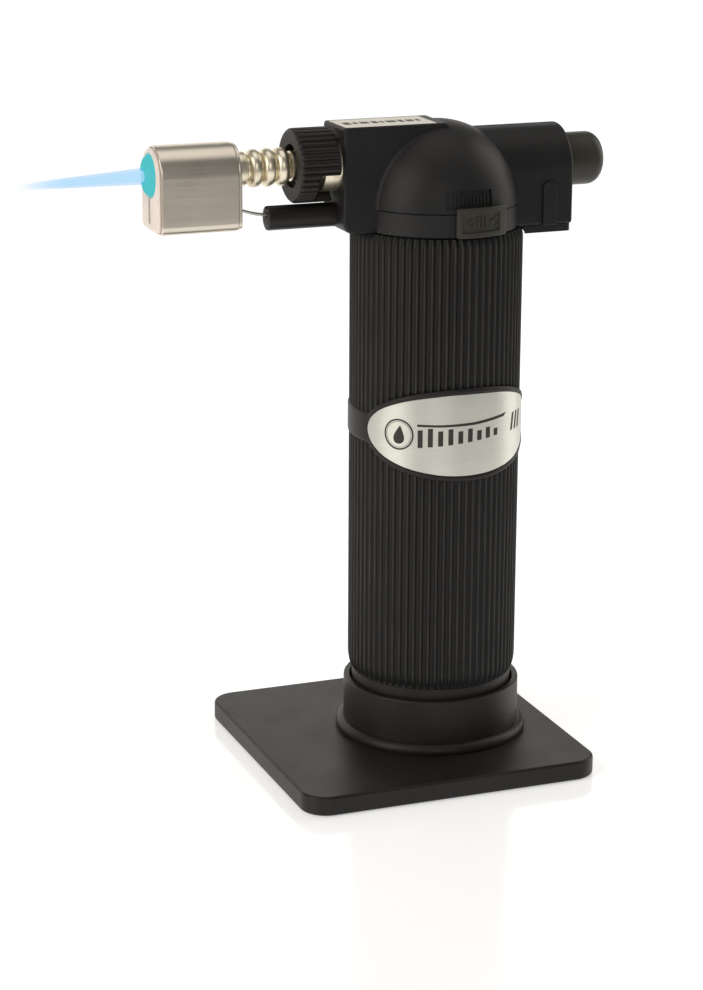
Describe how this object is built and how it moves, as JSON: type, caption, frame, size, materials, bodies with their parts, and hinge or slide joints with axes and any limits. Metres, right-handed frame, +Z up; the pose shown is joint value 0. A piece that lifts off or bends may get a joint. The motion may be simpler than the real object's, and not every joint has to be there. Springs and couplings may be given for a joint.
{
  "type": "butane torch",
  "caption": "Upright butane torch for the bench: ribbed cylindrical grip over a fuel tank, domed head with a horizontal shielded burner and rear button, on a removable square stand.",
  "frame": {"origin": "on the tank axis, at the mouth of the refill access hole in the stand's underside", "axes": "+Z up along the tank axis; the nozzle points along -X and the ignition button along +X; the badge faces -Y"},
  "size_m": [0.1421, 0.095, 0.1967],
  "materials": {
    "stand_plastic": "matte, fine moulded texture",
    "grip_plastic": "satin moulded plastic with worn rib crests",
    "head_plastic": "matte, fine moulded texture",
    "control_plastic": "satin dark olive grey",
    "badge_aluminium": "brushed",
    "label_film": "matt printed film",
    "stainless": "satin",
    "spring_steel": "drawn wire",
    "ceramic": "white unglazed ceramic",
    "pale_brass": "satin nickel tinted brass",
    "valve_brass": "turned",
    "black_anodised": "satin black",
    "inner_plastic": "natural moulded nylon",
    "seal_rubber": "matte",
    "copper_pipe": "drawn copper",
    "lead_insulation": "smooth",
    "felt": "pressed felt"
  },
  "bodies": {
    "stand": {"stand_plate": "stand_plastic", "stand_collar": "stand_plastic"},
    "torch": {"tank_foot": "grip_plastic", "fuel_tank": "inner_plastic", "tank_cap": "inner_plastic", "grip_sleeve": "grip_plastic", "badge_plate": "badge_aluminium", "fill_valve_body": "valve_brass", "fill_valve_spring": "spring_steel", "fill_valve_seal": "seal_rubber", "gas_valve_body": "valve_brass", "gas_valve_spring": "spring_steel", "fuel_filter": "felt", "lever_pin": "spring_steel", "gas_tube": "copper_pipe", "gas_jet": "valve_brass", "burner_block": "pale_brass", "burner_tube": "pale_brass", "flame_holder": "stainless", "nozzle_shield": "stainless", "shield_flange": "stainless", "ceramic_insert": "ceramic", "electrode_holder": "black_anodised", "electrode_wire": "spring_steel", "ignition_lead": "lead_insulation", "piezo_body": "inner_plastic", "button_spring": "spring_steel", "head_ring": "head_plastic", "head_shell_left": "head_plastic", "head_shell_right": "head_plastic", "rear_bottom_cover": "head_plastic", "rear_pad": "control_plastic", "top_label": "label_film", "housing_screws": "spring_steel"},
    "button": {"ignition_button": "control_plastic", "piezo_plunger": "inner_plastic"},
    "lever": {"valve_lever": "stainless"},
    "gas_stem": {"gas_valve_stem": "spring_steel", "gas_valve_seal": "seal_rubber"},
    "lock": {"lock_slider": "control_plastic"},
    "air_adjuster": {"air_ring": "black_anodised"},
    "fill_stem": {"fill_valve_stem": "spring_steel"}
  },
  "joints": [
    {"name": "torch_lift", "type": "slide", "parent": "stand", "child": "torch", "axis": [0, 0, 1], "range_m": [0, 0.03]},
    {"name": "button_press", "type": "slide", "parent": "torch", "child": "button", "axis": [-1, 0, 0], "range_m": [0, 0.006], "stiffness_N_per_m": 700, "springref_m": -0.003, "deforming": ["button_spring"]},
    {"name": "lever_turn", "type": "hinge", "parent": "torch", "child": "lever", "pos_m": [-0.0045, 0, 0.1615], "axis": [0, -1, 0], "range_deg": [0, 25]},
    {"name": "valve_open", "type": "slide", "parent": "torch", "child": "gas_stem", "axis": [0, 0, 1], "range_m": [0, 0.0019], "deforming": ["gas_valve_spring"]},
    {"name": "lock_slide", "type": "hinge", "parent": "torch", "child": "lock", "pos_m": [0, 0, 0.1697], "axis": [0, 0, 1], "range_deg": [-12, 0]},
    {"name": "air_turn", "type": "hinge", "parent": "torch", "child": "air_adjuster", "pos_m": [-0.0405, 0, 0.1852], "axis": [1, 0, 0], "range_deg": [0, 90]},
    {"name": "fill_press", "type": "slide", "parent": "torch", "child": "fill_stem", "axis": [0, 0, 1], "range_m": [0, 0.0012], "stiffness_N_per_m": 900, "springref_m": -0.002, "deforming": ["fill_valve_spring"]}
  ],
  "couplings": [
    {"joint": "lever_turn", "follows": "button_press", "rad_per_m": 60.606},
    {"joint": "valve_open", "follows": "button_press", "ratio": 0.2667}
  ]
}
